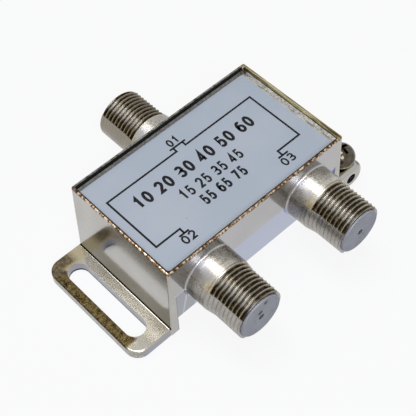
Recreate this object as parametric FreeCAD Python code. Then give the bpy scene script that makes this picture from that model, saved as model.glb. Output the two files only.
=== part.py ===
import FreeCAD
import Part
import math
import os

# Two-way coaxial splitter: a die-cast box with three threaded ports, a soldered lid,
# a slotted mounting ear, a ground terminal and the circuit board inside.
# Millimetres. Z = 0 is the mounting plane, X the long way, IN faces +Y, both OUT ports face -Y.

V = FreeCAD.Vector

# Cast box
body_length = 38.6        # along X at the top rim
body_width = 23.3         # along Y at the top rim
body_height = 17.6
end_draft = 0.7           # each end wall stands out by this at the base
side_draft = 0.05         # each side wall stands out by this at the port height
base_inset = 1.8          # the lower side walls come in by this at the base
end_plate = 1.8           # length at each end that keeps the full width down to the base
corner_radius = 0.35
rim_width = 0.5
ledge_width = 1.25        # the lid rests on this ledge inside the rim
floor_thickness = 1.6
rim_edge_radius = 0.2

# Lid, its soldered seam and the label
lid_thickness = 0.5
lid_depth = 1.27          # the lid's face lies this far below the rim
lid_gap = 0.05
seam_leg = 0.4            # solder fillet between the rim and the lid
seam_edge = 0.02          # what is left of the fillet's thickness at its upper edge
label_thickness = 0.1
label_end_gap = 0.25      # from the seam to the label's ends
label_side_gap = 0.1      # from the seam to the label's long sides
label_shift = 0.2         # the label is stuck on this far towards the ear
recess_radius = 0.5

# Ports, 3/8-32 thread
port_height = 10.5
port_spacing = 22.5       # between the two OUT ports
barrel_length = 11.4      # from the side wall to the barrel's metal end
thread_major = 9.525
thread_pitch = 25.4 / 32
thread_depth = 0.487
shoulder_radius = 4.92    # the plain stretch beside the wall stands a little over the thread
shoulder_out = 4.0        # its length on an OUT port, root flare included
shoulder_in = 3.2         # the same on the IN port
root_flare = 0.3
barrel_chamfer = 0.25
strip_radius = 4.55       # plain strips without thread run along both sides of a barrel
strip_above = 35.0        # degrees from the side up to the strip's upper edge
strip_below = 45.0        # degrees from the side down to its lower edge
strip_blend = 2.0         # length over which a strip runs out from the shoulder
barrel_bore = 3.2         # radius

# Port insulators and centre contacts
fit_gap = 0.03
slip_gap = 0.05
cap_radius = 4.1
cap_seat = 0.4            # the cap's flange is sunk this deep into the barrel's end
cap_proud = 0.4           # and stands out of it by this
cap_round = 0.25
cap_spigot = 4.0
cap_web = 1.2             # thickness of the insulator around the centre hole
centre_hole_radius = 0.55
bead_length = 3.0
bead_depth = 0.25         # the bead lies this far into the bore from the cavity
contact_radius = 0.95
contact_bore = 0.38
contact_bore_depth = 6.0
contact_seat_gap = 0.35   # between the bead and the sleeve of the contact
contact_slot = 0.25
contact_slot_depth = 4.0
tail_radius = 0.3
tail_reach = 2.15         # the tail reaches this far into the cavity

# Mounting ear
ear_reach = 7.4
ear_thickness = 2.1
ear_corner_radius = 2.5
ear_edge_radius = 0.3
slot_width = 3.8
slot_length = 18.2
slot_offset = 3.75        # from the foot of the end wall to the slot's centre line

# Ground terminal, M3 screw
lug_reach = 3.1           # from the foot of the end wall to the wire hole
lug_radius = 2.75
lug_nose = 0.45           # from the wire hole to the centre of the lug's rounded nose
lug_length = 5.8
lug_near_radius = 1.1     # rounding of the lug's near edge
lug_far_radius = 0.3
wire_hole_radius = 1.05
screw_major = 3.0
screw_pitch = 0.5
screw_thread_depth = 0.25
screw_clearance = 0.05
screw_lift = 0.5          # at rest the washer stands one turn of the screw above the lug
screw_tip_clear = 0.1     # at rest the screw's tip lies this far above the wire hole
screw_foot_gap = 0.3      # left under the tip when the screw is fully in
screw_tip_chamfer = 0.3
washer_gap = 0.02         # left under the washer when the screw is fully in
washer_thickness = 0.4
washer_radius = 2.5
washer_bore = 1.62
head_gap = 0.03
head_radius = 2.6
head_side = 0.35
head_dome = 2.15
recess_cross_width = 0.6
recess_cross_length = 2.8
recess_cross_depth = 1.2

# Circuit board
board_thickness = 1.0
copper = 0.07
board_end_gap = 0.4
board_side_gap = 0.3
ground_plane_margin = 0.4
post_length = 2.0
post_width = 2.0
post_offset = 6.9         # from the middle plane to a post's centre
solder_gap = 0.02

# Parts on the board
magnet_wire_radius = 0.15
magnet_wire_gap = 0.03
magnet_wire_bend = 0.22
toroid_outer = 3.0
toroid_inner = 1.5
toroid_height = 2.4
toroid_turns = 6
toroid_step = 24.0        # degrees from turn to turn
toroid_x = -7.0
toroid_end_x = 4.0        # from the ring core's centre to its wires' ends on the +X side
toroid_tap_x = 4.4        # the same on the -X side
toroid_tap_spread = 1.2
toroid_ground_drop = 2.2
toroid_drop = 1.7         # from the input capacitor's middle to the ring core's
twin_core_width = 4.4
twin_core_length = 3.2
twin_core_height = 2.4
twin_hole_offset = 1.05
twin_hole_radius = 0.6
twin_lane = 0.25          # the two hairpins lie this far above and below the holes' axis
twin_bow = 0.55
twin_lead = 1.1
twin_y = -2.2
chip_length = 2.0
chip_width = 1.25
chip_height = 0.8
chip_end = 0.35
chip_gap = 0.4            # half the bare board under a chip
tail_to_capacitor = 1.6   # from a tail's end to the input capacitor
capacitor_x = -6.0        # the compensation capacitor
resistor_radius = 0.9
resistor_length = 3.4
resistor_span = 7.2
resistor_lead_radius = 0.25
resistor_lead_bend = 0.6
resistor_edge = 2.0       # from the board's edge to the resistor's centre line
resistor_clear = 0.35     # under the resistor's body
dome_radius = 0.45
joint_half_width = 0.8
joint_margin = 0.1        # solder beside the tail at the joint's top
joint_inset = 0.2         # the tail's end stands out of its solder by this
edge_joint_reach = 1.25
edge_joint_width = 2.5
edge_joint_height = 0.8
edge_joint_offset = 5.0

# Tracks on the board
pad_edge = 0.4            # from the board's edge to the ports' pads
pad_width = 2.0
track_width = 1.2
lead_track = 0.9
narrow_track = 0.7
tap_lane = -1.85          # the tap's track runs along X here

# Worked out from the sizes above
side_wall = rim_width + ledge_width
full_half_width = body_width / 2 + side_draft
base_half_length = body_length / 2 + end_draft
lid_top = body_height - lid_depth
ledge_top = lid_top - lid_thickness
crest = thread_major / 2
root_radius = shoulder_radius + root_flare
cap_face = barrel_length + cap_proud
contact_front = cap_face - cap_web - slip_gap
bead_rear = bead_depth - side_wall
contact_rear = bead_rear + bead_length + contact_seat_gap
tail_end = -side_wall - tail_reach
tail_y = full_half_width + tail_end
lug_x = base_half_length + lug_reach
lug_top = 2 * lug_radius
lug_near = -full_half_width
lug_far = lug_near + lug_length
screw_y = (lug_near + lug_far) / 2
screw_tip = lug_radius + wire_hole_radius + screw_tip_clear
screw_hole_foot = screw_tip - screw_lift - screw_foot_gap
washer_foot = lug_top + washer_gap + screw_lift
head_foot = washer_foot + washer_thickness + head_gap
copper_top = port_height - tail_radius - slip_gap
board_top = copper_top - copper
board_bottom = board_top - board_thickness
cavity_half_length = body_length / 2 - side_wall
reach = 5.0               # how far a cutting tool runs past what it cuts


def half_width(z):
    """Half the outer width between the end plates at height z."""
    if z >= port_height:
        return body_width / 2 + side_draft * (body_height - z) / (body_height - port_height)
    return full_half_width - base_inset * (1 - z / port_height)


def box(x0, x1, y0, y1, z0, z1):
    return Part.makeBox(x1 - x0, y1 - y0, z1 - z0, V(x0, y0, z0))


def face_of(points):
    return Part.Face(Part.makePolygon(points + [points[0]]))


def prism_x(points, x0, x1):
    """A prism along X over an outline given as (y, z) points."""
    return face_of([V(x0, y, z) for y, z in points]).extrude(V(x1 - x0, 0, 0))


def prism_y(points, y0, y1):
    """A prism along Y over an outline given as (x, z) points."""
    return face_of([V(x, y0, z) for x, z in points]).extrude(V(0, y1 - y0, 0))


def upright(shape):
    """The edges of a shape that stand up, one at each corner or one above another."""
    return [e for e in shape.Edges if e.BoundBox.ZLength > 0.9 * max(e.BoundBox.XLength, 1e-6)
            and e.BoundBox.ZLength > 5 * e.BoundBox.YLength and e.BoundBox.ZLength > 0.3]


def plate(half_x, half_y, z0, z1, radius):
    """A flat plate about the origin with rounded corners."""
    blank = box(-half_x, half_x, -half_y, half_y, z0, z1)
    return blank.makeFillet(radius, [e for e in blank.Edges if abs(e.BoundBox.ZLength - (z1 - z0)) < 1e-6])


def turned(points, arcs=()):
    """A solid turned about Z from (radius, z) points. An arc (index, middle point) starts at that point."""
    middles = dict(arcs)
    edges = []
    for i, (r, z) in enumerate(points):
        a = V(r, 0, z)
        b = V(points[(i + 1) % len(points)][0], 0, points[(i + 1) % len(points)][1])
        if i in middles:
            edges.append(Part.Arc(a, V(middles[i][0], 0, middles[i][1]), b).toShape())
        else:
            edges.append(Part.LineSegment(a, b).toShape())
    return Part.Face(Part.Wire(edges)).revolve(V(0, 0, 0), V(0, 0, 1), 360)


def thread_groove(major_radius, depth, pitch, z0, z1):
    """The helical groove of a 60-degree thread between two heights, as a cutting tool."""
    over = 0.06 * pitch
    root = major_radius - depth
    half_root = pitch / 8
    half_mouth = half_root + (depth + over) * math.tan(math.radians(30))
    helix = Part.Wire(Part.makeLongHelix(pitch, z1 - z0, root, 0).Edges)
    section = Part.makePolygon([
        V(root, 0, -half_root),
        V(major_radius + over, 0, -half_mouth),
        V(major_radius + over, 0, half_mouth),
        V(root, 0, half_root),
        V(root, 0, -half_root),
    ])
    groove = helix.makePipeShell([section], True, True)
    if groove.Volume < 0:
        groove.reverse()
    groove.translate(V(0, 0, z0))
    return groove


def bent_rod(points, radius, bend):
    """A round rod along straight runs joined by tangent arcs of one radius."""
    edges = []
    start = points[0]
    for i in range(1, len(points) - 1):
        before = (points[i] - points[i - 1]).normalize()
        after = (points[i + 1] - points[i]).normalize()
        turn = before.getAngle(after)
        cut = bend * math.tan(turn / 2)
        entry = points[i] - before * cut
        leave = points[i] + after * cut
        inward = (after - before).normalize()
        middle = points[i] + inward * bend * (1 / math.cos(turn / 2) - 1)
        edges.append(Part.LineSegment(start, entry).toShape())
        edges.append(Part.Arc(entry, middle, leave).toShape())
        start = leave
    edges.append(Part.LineSegment(start, points[-1]).toShape())
    ring = Part.Wire(Part.Circle(points[0], points[1] - points[0], radius).toShape())
    return Part.Wire(edges).makePipeShell([ring], True, False)


def port_places():
    """Each port's name, its axis place on the side wall and the turn that points Z out of it and Y up."""
    front = FreeCAD.Rotation(V(1, 0, 0), 90)
    back = FreeCAD.Rotation(V(0, 0, 1), 180) * front
    return [
        ("in_port", FreeCAD.Placement(V(0, full_half_width, port_height), back)),
        ("out_port_a", FreeCAD.Placement(V(-port_spacing / 2, -full_half_width, port_height), front)),
        ("out_port_b", FreeCAD.Placement(V(port_spacing / 2, -full_half_width, port_height), front)),
    ]


def placed(shape, placement):
    """A copy of a shape that was built at the origin, moved to a port."""
    moved = shape.copy()
    moved.Placement = placement
    return moved


def save(name, shape):
    shape.exportStep("parts/%s.step" % name)
    print("%-26s solids %2d volume %9.3f valid %s" % (name, len(shape.Solids), shape.Volume, shape.isValid()))


# Housing

def cast_box():
    """The outside of the box with its drafted walls and the insets in the lower side walls."""
    ends = [
        (-base_half_length, 0),
        (base_half_length, 0),
        (body_length / 2, body_height),
        (-body_length / 2, body_height),
    ]
    blank = prism_y(ends, -full_half_width, full_half_width)
    past = full_half_width + reach
    for side in (-1, 1):
        shave = [
            (side * full_half_width, port_height),
            (side * half_width(body_height), body_height),
            (side * past, body_height),
            (side * past, port_height),
        ]
        blank = blank.cut(prism_x(shave, -base_half_length - reach, base_half_length + reach))
    blank = blank.makeFillet(corner_radius, upright(blank))
    rim = [e for e in blank.Edges if e.BoundBox.ZMin > body_height - 1e-3]
    blank = blank.makeFillet(rim_edge_radius, rim)
    inset_end = base_half_length - end_plate
    for side in (-1, 1):
        inset = [
            (side * half_width(port_height), port_height),
            (side * half_width(0), 0),
            (side * half_width(0), -reach),
            (side * past, -reach),
            (side * past, port_height),
        ]
        blank = blank.cut(prism_x(inset, -inset_end, inset_end))
    return blank


def sector(first, last, z0, z1):
    """A wedge about Z between two angles in degrees, as a tool for the barrel's plain strips."""
    wedge = Part.makeCylinder(2 * crest, z1 - z0, V(0, 0, z0), V(0, 0, 1), last - first)
    wedge.rotate(V(0, 0, 0), V(0, 0, 1), first)
    return wedge


def barrel(shoulder):
    """One threaded port, Z out of the wall and Y up, with its plain shoulder and its two plain strips."""
    corner = root_flare * math.sqrt(0.5)
    solid = turned(
        [
            (0, -side_wall),
            (root_radius, -side_wall),
            (root_radius, 0),
            (shoulder_radius, root_flare),
            (shoulder_radius, shoulder),
            (crest, shoulder),
            (crest, barrel_length - barrel_chamfer),
            (crest - barrel_chamfer, barrel_length),
            (0, barrel_length),
        ],
        [(2, (root_radius - corner, root_flare - corner))],
    )
    first = shoulder + thread_pitch * 0.6
    solid = solid.cut(thread_groove(crest, thread_depth, thread_pitch, first, barrel_length + thread_pitch))
    wedges = [
        sector(-strip_below, strip_above, shoulder, barrel_length + reach),
        sector(180 - strip_above, 180 + strip_below, shoulder, barrel_length + reach),
    ]
    strips = turned([
        (0, shoulder),
        (shoulder_radius, shoulder),
        (strip_radius, shoulder + strip_blend),
        (strip_radius, barrel_length),
        (0, barrel_length),
    ]).common(wedges)
    seat = Part.makeCylinder(cap_radius + fit_gap, cap_seat + reach, V(0, 0, barrel_length - cap_seat))
    return solid.cut(wedges).fuse(strips.Solids).cut(seat)


def ear():
    """The slotted mounting ear beyond the -X end wall."""
    outer = -base_half_length - ear_reach
    inner = -base_half_length + end_plate / 2
    solid = box(outer, inner, -full_half_width, full_half_width, 0, ear_thickness)
    corners = [e for e in upright(solid) if e.BoundBox.XMax < outer + 1e-3]
    solid = solid.makeFillet(ear_corner_radius, corners)
    rims = [e for e in solid.Edges if e.BoundBox.ZLength < 1e-3 and e.BoundBox.XMax < inner + 1e-3
            and not (e.BoundBox.XMin > inner - 1e-3)]
    solid = solid.makeFillet(ear_edge_radius, rims)
    half = slot_length / 2 - slot_width / 2
    x = -base_half_length - slot_offset
    tool = box(x - slot_width / 2, x + slot_width / 2, -half, half, -reach, ear_thickness + reach)
    for side in (-1, 1):
        end = Part.makeCylinder(slot_width / 2, ear_thickness + 2 * reach, V(x, side * half, -reach))
        tool = tool.fuse(end)
    return solid.cut(tool.removeSplitter())


def lug():
    """The ground terminal's lug at the +X end, without its holes."""
    nose_x = lug_x + lug_nose
    block = box(base_half_length - end_plate, nose_x, lug_near, lug_far, 0, lug_top)
    nose = Part.makeCylinder(lug_radius, lug_length, V(nose_x, lug_near, lug_radius), V(0, 1, 0))
    solid = block.fuse(nose).removeSplitter()
    for radius, y in ((lug_near_radius, lug_near), (lug_far_radius, lug_far)):
        rims = [e for e in solid.Edges if e.BoundBox.YLength < 1e-3 and e.BoundBox.XMax > nose_x - 1e-3]
        solid = solid.makeFillet(radius, [e for e in rims if abs(e.BoundBox.YMin - y) < 1e-3])
    return solid


def lug_holes():
    mouth = V(lug_x, lug_near - reach, lug_radius)
    wire = Part.makeCylinder(wire_hole_radius, lug_length + 2 * reach, mouth, V(0, 1, 0))
    screw = Part.makeCylinder(screw_major / 2, lug_top + reach, V(lug_x, screw_y, screw_hole_foot))
    return [wire, screw]


def cavity():
    """The hollow inside the box, up to the lid's ledge."""
    outline = []
    for z in (floor_thickness, port_height, ledge_top + reach):
        outline.append((half_width(min(z, body_height)) - side_wall, z))
    outline += [(-y, z) for y, z in reversed(outline)]
    return prism_x(outline, -cavity_half_length, cavity_half_length)


def board_posts():
    """Four cast posts that carry the board's corners."""
    top = board_bottom - copper
    posts = []
    for sx in (-1, 1):
        for sy in (-1, 1):
            x = sorted((sx * (cavity_half_length - post_length), sx * (cavity_half_length + ledge_width / 2)))
            y = sy * post_offset
            posts.append(box(x[0], x[1], y - post_width / 2, y + post_width / 2, floor_thickness / 2, top))
    return posts


def housing():
    solid = cast_box()
    shoulders = {"in_port": shoulder_in, "out_port_a": shoulder_out, "out_port_b": shoulder_out}
    barrels = [placed(barrel(shoulders[name]), p) for name, p in port_places()]
    solid = solid.fuse([ear(), lug()] + barrels)
    half_x = body_length / 2 - rim_width
    half_y = body_width / 2 - rim_width
    recess = plate(half_x, half_y, ledge_top, body_height + reach, recess_radius)
    bore = Part.makeCylinder(barrel_bore, barrel_length + side_wall + 2 * reach, V(0, 0, -side_wall - reach))
    solid = solid.cut([cavity(), recess] + lug_holes() + [placed(bore, p) for _, p in port_places()])
    return solid.fuse(board_posts())


# Lid, seam and label

def lid():
    return plate(
        body_length / 2 - rim_width - lid_gap,
        body_width / 2 - rim_width - lid_gap,
        ledge_top,
        lid_top,
        recess_radius,
    )


def lid_seam():
    """The solder fillet that runs round the lid inside the rim."""
    half_x = body_length / 2 - rim_width
    half_y = body_width / 2 - rim_width
    ring = plate(half_x, half_y, lid_top, lid_top + seam_leg, recess_radius)
    inside = []
    for inset, z in ((seam_leg, lid_top), (seam_edge, lid_top + seam_leg)):
        x = half_x - inset
        y = half_y - inset
        inside.append(Part.makePolygon([V(-x, -y, z), V(x, -y, z), V(x, y, z), V(-x, y, z), V(-x, -y, z)]))
    return ring.cut(Part.makeLoft(inside, True, True))


def label():
    half_x = body_length / 2 - rim_width - seam_leg - label_end_gap
    half_y = body_width / 2 - rim_width - seam_leg - label_side_gap
    sheet = plate(half_x, half_y, lid_top, lid_top + label_thickness, recess_radius)
    sheet.translate(V(-label_shift, 0, 0))
    return sheet


# Port parts, built with Z out of the wall

def port_cap():
    """The front insulator: a flange in the seat of the barrel's end and a spigot in its bore."""
    corner = cap_round * (1 - math.sqrt(0.5))
    return turned(
        [
            (centre_hole_radius, cap_face),
            (cap_radius - cap_round, cap_face),
            (cap_radius, cap_face - cap_round),
            (cap_radius, barrel_length - cap_seat),
            (barrel_bore - fit_gap, barrel_length - cap_seat),
            (barrel_bore - fit_gap, barrel_length - cap_spigot),
            (contact_radius + slip_gap, barrel_length - cap_spigot),
            (contact_radius + slip_gap, cap_face - cap_web),
            (centre_hole_radius, cap_face - cap_web),
        ],
        [(1, (cap_radius - corner, cap_face - corner))],
    )


def port_bead():
    """The rear insulator that holds the contact's tail in the middle of the bore."""
    body = Part.makeCylinder(barrel_bore - fit_gap, bead_length, V(0, 0, bead_rear))
    below = V(0, 0, bead_rear - reach)
    return body.cut(Part.makeCylinder(tail_radius + slip_gap, bead_length + 2 * reach, below))


def port_contact():
    """The centre contact: a split sleeve in front and a round tail into the box."""
    solid = turned([
        (0, tail_end),
        (tail_radius, tail_end),
        (tail_radius, contact_rear),
        (contact_radius, contact_rear),
        (contact_radius, contact_front),
        (contact_bore, contact_front),
        (contact_bore, contact_front - contact_bore_depth),
        (0, contact_front - contact_bore_depth),
    ])
    half = contact_slot / 2
    slot_foot = contact_front - contact_slot_depth
    past = contact_front + reach
    for half_x, half_y in ((half, reach), (reach, half)):
        solid = solid.cut(box(-half_x, half_x, -half_y, half_y, slot_foot, past))
    return solid


# Ground screw and washer

def ground_washer():
    outer = Part.makeCylinder(washer_radius, washer_thickness, V(lug_x, screw_y, washer_foot))
    below = V(lug_x, screw_y, washer_foot - reach)
    return outer.cut(Part.makeCylinder(washer_bore, washer_thickness + 2 * reach, below))


def ground_screw():
    """A dome-headed screw with a cross recess."""
    shank = screw_major / 2 - screw_clearance
    rim = head_foot + head_side
    sphere = (head_radius ** 2 + head_dome ** 2) / (2 * head_dome)
    middle_radius = head_radius * 0.6
    middle_height = rim + head_dome - sphere + math.sqrt(sphere ** 2 - middle_radius ** 2)
    solid = turned(
        [
            (0, screw_tip),
            (shank - screw_tip_chamfer, screw_tip),
            (shank, screw_tip + screw_tip_chamfer),
            (shank, head_foot),
            (head_radius, head_foot),
            (head_radius, rim),
            (0, rim + head_dome),
        ],
        [(5, (middle_radius, middle_height))],
    )
    first = screw_tip - screw_pitch
    last = head_foot - screw_pitch
    solid = solid.cut(thread_groove(shank, screw_thread_depth, screw_pitch, first, last))
    top = rim + head_dome
    long = recess_cross_length / 2
    half = recess_cross_width / 2
    foot = top - recess_cross_depth
    past = top + reach
    for half_x, half_y in ((long, half), (half, long)):
        solid = solid.cut(box(-half_x, half_x, -half_y, half_y, foot, past))
    solid.translate(V(lug_x, screw_y, 0))
    return solid


# Circuit board and its parts

def board_half_sizes():
    half_y = half_width(board_bottom) - side_wall - board_side_gap
    return cavity_half_length - board_end_gap, half_y


def circuit_board():
    half_x, half_y = board_half_sizes()
    return box(-half_x, half_x, -half_y, half_y, board_bottom, board_top)


def ground_plane():
    half_x, half_y = board_half_sizes()
    x = half_x - ground_plane_margin
    y = half_y - ground_plane_margin
    return box(-x, x, -y, y, board_bottom - copper, board_bottom)


def run(a, b, width):
    """A straight track from one (x, y) point to another, as (x0, x1, y0, y1)."""
    half = width / 2
    return (min(a[0], b[0]) - half, max(a[0], b[0]) + half, min(a[1], b[1]) - half, max(a[1], b[1]) + half)


# Places on the board, as (x, y), each tied to the pieces that it serves
port_x = port_spacing / 2
pad_outer = board_half_sizes()[1] - pad_edge
pad_y = pad_outer - pad_width / 2
capacitor_y = tail_y - tail_to_capacitor - chip_length / 2
compensation_y = tap_lane - narrow_track / 2 - chip_gap
match_y = capacitor_y - chip_gap - pad_width / 2
toroid_y = capacitor_y - toroid_drop
toroid_place = V(toroid_x, toroid_y, 0)
match_end = (toroid_x + toroid_end_x, match_y)
ground_end = (toroid_x + toroid_end_x, toroid_y - toroid_ground_drop)
tap_x = toroid_x - toroid_tap_x
tap_end_up = (tap_x, toroid_y + toroid_tap_spread)
tap_end_down = (tap_x, toroid_y - toroid_tap_spread)
twin_place = V(0, twin_y, 0)
lead_x = twin_hole_offset
near_leads = twin_y - twin_core_length / 2 - twin_lead
far_leads = twin_y + twin_core_length / 2 + twin_lead
resistor_x = resistor_span / 2
resistor_y = resistor_edge - board_half_sizes()[1]
chip_ground = (capacitor_x, compensation_y - chip_gap - track_width / 2)


def track_nets():
    """The tracks on the board's top, one list of straight runs for each net."""
    in_net = [run((0, capacitor_y + chip_gap + pad_width / 2), (0, pad_y), pad_width)]
    match_net = [run((match_end[0] + joint_inset, match_y), (0, match_y), pad_width)]
    tap_net = [
        run(tap_end_down, tap_end_up, track_width),
        run((tap_x, tap_lane), tap_end_down, narrow_track),
        run((tap_x, tap_lane), (0, tap_lane), narrow_track),
        run((0, near_leads), (0, far_leads), narrow_track),
        run((0, near_leads), (lead_x, near_leads), lead_track),
        run((-lead_x, far_leads), (0, far_leads), lead_track),
    ]
    out_a_net = [
        run((-port_x, -pad_y), (-port_x, near_leads), pad_width),
        run((-port_x, near_leads), (-lead_x, near_leads), lead_track),
        run((-resistor_x, resistor_y), (-resistor_x, near_leads), track_width),
    ]
    out_b_net = [
        run((port_x, -pad_y), (port_x, near_leads), pad_width),
        run((port_x, near_leads), (port_x, far_leads), track_width),
        run((lead_x, far_leads), (port_x, far_leads), lead_track),
        run((resistor_x, resistor_y), (port_x, resistor_y), track_width),
    ]
    grounds = [[run(p, p, track_width)] for p in (ground_end, chip_ground)]
    return [in_net, match_net, tap_net, out_a_net, out_b_net] + grounds


def board_tracks():
    nets = track_nets()
    half_x = board_half_sizes()[0]
    for sx in (-1, 1):
        for sy in (-1, 1):
            x = sorted((sx * (half_x - edge_joint_reach), sx * half_x))
            y = sy * edge_joint_offset
            nets.append([(x[0], x[1], y - edge_joint_width / 2, y + edge_joint_width / 2)])
    sheets = []
    for net in nets:
        parts = [box(x0, x1, y0, y1, board_top, copper_top) for x0, x1, y0, y1 in net]
        sheet = parts[0].fuse(parts[1:]).removeSplitter() if len(parts) > 1 else parts[0]
        sheets += sheet.Solids
    return Part.makeCompound(sheets)


def board_solder():
    """Four solder fillets between the board's ends and the end walls."""
    fillets = []
    for sx in (-1, 1):
        wall_x = sx * cavity_half_length
        foot_x = wall_x - sx * edge_joint_reach
        outline = [(foot_x, copper_top), (wall_x, copper_top), (wall_x, copper_top + edge_joint_height)]
        for sy in (-1, 1):
            y = sy * edge_joint_offset
            fillets.append(prism_y(outline, y - edge_joint_width / 2, y + edge_joint_width / 2))
    return Part.makeCompound(fillets)


def contact_solder():
    """The solder joints under the ends of the three contact tails."""
    joints = []
    narrow = tail_radius + joint_margin
    for name, placement in port_places():
        x = placement.Base.x
        side = 1 if placement.Base.y > 0 else -1
        y = sorted((side * (tail_y + joint_inset), side * pad_outer))
        outline = [
            (x - joint_half_width, copper_top),
            (x + joint_half_width, copper_top),
            (x + narrow, port_height),
            (x - narrow, port_height),
        ]
        block = prism_y(outline, y[0], y[1])
        tail = Part.makeCylinder(tail_radius + solder_gap, y[1] - y[0], V(x, y[0], port_height), V(0, 1, 0))
        joints.append(block.cut(tail))
    return Part.makeCompound(joints)


def polar(radius, degrees, z):
    a = math.radians(degrees)
    return toroid_place + V(radius * math.cos(a), radius * math.sin(a), z)


wire_level = copper_top + magnet_wire_radius + magnet_wire_gap
toroid_bottom = wire_level + magnet_wire_radius + magnet_wire_gap


def matching_core():
    ring = Part.makeCylinder(toroid_outer, toroid_height, toroid_place + V(0, 0, toroid_bottom))
    below = toroid_place + V(0, 0, toroid_bottom - reach)
    return ring.cut(Part.makeCylinder(toroid_inner, toroid_height + 2 * reach, below))


def toroid_winding(first_angle, start, end):
    """One wire wound on the ring core from a pad to another pad."""
    away = magnet_wire_radius + magnet_wire_gap
    inner = toroid_inner - away
    outer = toroid_outer + away
    upper = toroid_bottom + toroid_height + away
    points = [V(start[0], start[1], wire_level)]
    for k in range(toroid_turns):
        angle = first_angle + k * toroid_step
        points.append(polar(inner, angle, wire_level))
        points.append(polar(inner, angle, upper))
        points.append(polar(outer, angle, upper))
        points.append(polar(outer, angle, wire_level))
    points.append(V(end[0], end[1], wire_level))
    return bent_rod(points, magnet_wire_radius, magnet_wire_bend)


first_up = 30.0
first_down = 210.0


def splitting_core():
    """The two-hole core, its holes along Y."""
    half = twin_core_width / 2
    flat = half - twin_core_height / 2
    z = copper_top + twin_core_height / 2
    length = V(0, 1, 0)
    y0 = -twin_core_length / 2
    solid = box(-flat, flat, y0, -y0, copper_top, copper_top + twin_core_height)
    for sx in (-1, 1):
        end = Part.makeCylinder(twin_core_height / 2, twin_core_length, V(sx * flat, y0, z), length)
        solid = solid.fuse(end)
    solid = solid.removeSplitter()
    for sx in (-1, 1):
        mouth = V(sx * twin_hole_offset, y0 - reach, z)
        solid = solid.cut(Part.makeCylinder(twin_hole_radius, twin_core_length + 2 * reach, mouth, length))
    solid.translate(twin_place)
    return solid


def hairpin(side):
    """A wire through both holes of the two-hole core, with its leads on one side (-1 or 1 along Y)."""
    z = copper_top + twin_core_height / 2 - side * twin_lane
    bow = -side * (twin_core_length / 2 + twin_bow)
    lead = side * (twin_core_length / 2 + twin_lead)
    foot = copper_top + magnet_wire_gap
    c = twin_hole_offset
    points = [V(-c, lead, foot), V(-c, lead, z), V(-c, bow, z), V(c, bow, z), V(c, lead, z), V(c, lead, foot)]
    return bent_rod([twin_place + p for p in points], magnet_wire_radius, magnet_wire_bend)


def chip(x, y):
    """A ceramic chip with its two end terminations, along Y."""
    half_x = chip_width / 2
    half_y = chip_length / 2
    body_x = half_x - solder_gap
    body_y = half_y - chip_end
    top = copper_top + chip_height
    body = box(x - body_x, x + body_x, y - body_y, y + body_y, copper_top + solder_gap, top - solder_gap)
    ends = [
        box(x - half_x, x + half_x, y - half_y, y - body_y, copper_top, top),
        box(x - half_x, x + half_x, y + body_y, y + half_y, copper_top, top),
    ]
    return body.fuse(ends)


def isolation_resistor():
    """An axial resistor that stands over the board on its two bent leads."""
    z = copper_top + resistor_radius + resistor_clear
    foot = copper_top + magnet_wire_gap
    lead = bent_rod(
        [
            V(-resistor_x, resistor_y, foot),
            V(-resistor_x, resistor_y, z),
            V(resistor_x, resistor_y, z),
            V(resistor_x, resistor_y, foot),
        ],
        resistor_lead_radius,
        resistor_lead_bend,
    )
    body_end = V(-resistor_length / 2, resistor_y, z)
    body = Part.makeCylinder(resistor_radius, resistor_length, body_end, V(1, 0, 0))
    rims = [e for e in body.Edges if e.BoundBox.XLength < 1e-3]
    body = body.makeFillet(resistor_radius * 0.45, rims)
    return body.fuse(lead)


def wire_solder(wires):
    """A solder dome on the pad at each wire's end, with the wires' own shapes left out."""
    spots = [match_end, tap_end_up, tap_end_down, ground_end]
    for sx in (-1, 1):
        spots += [(sx * resistor_x, resistor_y), (sx * lead_x, near_leads), (sx * lead_x, far_leads)]
    domes = []
    for x, y in spots:
        dome = Part.makeSphere(dome_radius, V(x, y, copper_top), V(0, 0, 1), 0, 90, 360)
        domes += dome.cut(wires).Solids
    return Part.makeCompound(domes)


def main():
    os.makedirs("parts", exist_ok=True)
    save("housing", housing())
    save("lid", lid())
    save("lid_seam", lid_seam())
    save("label", label())
    port_parts = [("cap", port_cap()), ("bead", port_bead()), ("contact", port_contact())]
    for port, placement in port_places():
        for part, shape in port_parts:
            save("%s_%s" % (port, part), placed(shape, placement))
    save("ground_washer", ground_washer())
    save("ground_screw", ground_screw())
    save("circuit_board", circuit_board())
    save("board_tracks", board_tracks())
    save("ground_plane", ground_plane())
    save("board_solder", board_solder())
    save("contact_solder", contact_solder())
    wound = {
        "matching_winding_in": toroid_winding(first_up, match_end, tap_end_up),
        "matching_winding_ground": toroid_winding(first_down, tap_end_down, ground_end),
        "splitting_winding_a": hairpin(-1),
        "splitting_winding_b": hairpin(1),
        "isolation_resistor": isolation_resistor(),
    }
    save("matching_core", matching_core())
    save("splitting_core", splitting_core())
    for name, shape in wound.items():
        save(name, shape)
    save("input_capacitor", chip(0, capacitor_y))
    save("compensation_capacitor", chip(capacitor_x, compensation_y))
    save("wire_solder", wire_solder(list(wound.values())))


main()
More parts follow.
